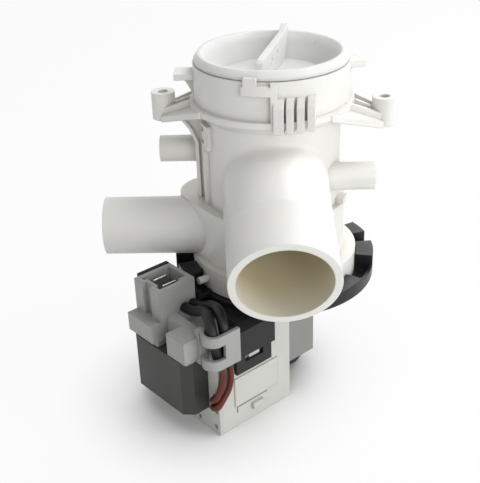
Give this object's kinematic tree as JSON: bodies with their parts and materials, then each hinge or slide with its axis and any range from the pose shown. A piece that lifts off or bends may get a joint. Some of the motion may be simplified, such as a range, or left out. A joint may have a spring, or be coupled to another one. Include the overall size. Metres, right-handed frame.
{
  "type": "washer drain pump",
  "caption": "Drain pump with a filter housing, a screw-in filter cap with a finger plate, hose stubs, fixing lugs and a canned synchronous motor with a blade connector.",
  "frame": {"origin": "on the pump axis, midway between the top faces of the two fixing lugs", "axes": "+Z along the pump axis towards the filter cap, X through both fixing holes, the wide inlet tube towards -Y"},
  "size_m": [0.1198, 0.1056, 0.147],
  "materials": {
    "housing_plastic": "moulded polypropylene, satin",
    "cap_plastic": "natural polypropylene, slightly milky",
    "filter_plastic": "natural polypropylene",
    "head_plastic": "glass filled black plastic, satin",
    "seal_rubber": "soft black rubber",
    "bearing_carbon": "ground carbon",
    "shaft_steel": "ground steel",
    "rotor_ferrite": "moulded ferrite magnet",
    "core_steel": "stamped laminations",
    "coil_copper": "enamelled copper wire",
    "coil_housing_plastic": "light grey plastic, satin",
    "contact_brass": "plain brass",
    "connector_plastic": "mid grey plastic, satin",
    "contact_metal": "tinned blades",
    "lead_insulation": "brown red insulation",
    "sleeve_rubber": "black sleeve"
  },
  "bodies": {
    "pump_body": {"pump_housing": "housing_plastic", "motor_head": "head_plastic", "motor_gasket": "seal_rubber", "rotor_can": "head_plastic", "front_bearing": "bearing_carbon", "front_bearing_holder": "seal_rubber", "rear_bearing": "bearing_carbon", "rear_bearing_holder": "seal_rubber", "thrust_washers": "shaft_steel", "stator_core": "core_steel", "core_rivets": "shaft_steel", "bobbin_a": "housing_plastic", "bobbin_b": "housing_plastic", "winding_a": "coil_copper", "winding_b": "coil_copper", "coil_housing": "coil_housing_plastic", "coil_end_plate": "coil_housing_plastic", "coil_terminals": "contact_brass", "thermal_cutout": "head_plastic", "connector_housing": "connector_plastic", "blade_terminals": "contact_metal", "lead_a": "lead_insulation", "lead_b": "lead_insulation", "lead_sleeve_a": "sleeve_rubber", "lead_sleeve_b": "sleeve_rubber"},
    "impeller": {"impeller": "connector_plastic"},
    "rotor": {"rotor_magnet": "rotor_ferrite", "rotor_shaft": "shaft_steel", "drive_dog": "connector_plastic", "dog_damper": "seal_rubber"},
    "filter": {"lint_filter": "filter_plastic"},
    "cap": {"filter_cap": "cap_plastic", "cap_seal": "seal_rubber"}
  },
  "joints": [
    {"name": "rotor_spin", "type": "hinge", "parent": "pump_body", "child": "rotor", "pos_m": [0, 0, -0.1], "axis": [0, 0, 1], "continuous": true},
    {"name": "impeller_play", "type": "hinge", "parent": "rotor", "child": "impeller", "pos_m": [0, 0, -0.056], "axis": [0, 0, 1], "range_deg": [-98, 98]},
    {"name": "filter_lift", "type": "slide", "parent": "pump_body", "child": "filter", "axis": [0, 0, 1], "range_m": [0, 0.006]},
    {"name": "cap_turn", "type": "hinge", "parent": "filter", "child": "cap", "pos_m": [0, 0, 0], "axis": [0, 0, 1], "range_deg": [0, 180]}
  ],
  "couplings": [
    {"joint": "filter_lift", "follows": "cap_turn", "m_per_rad": 0.0019099}
  ]
}
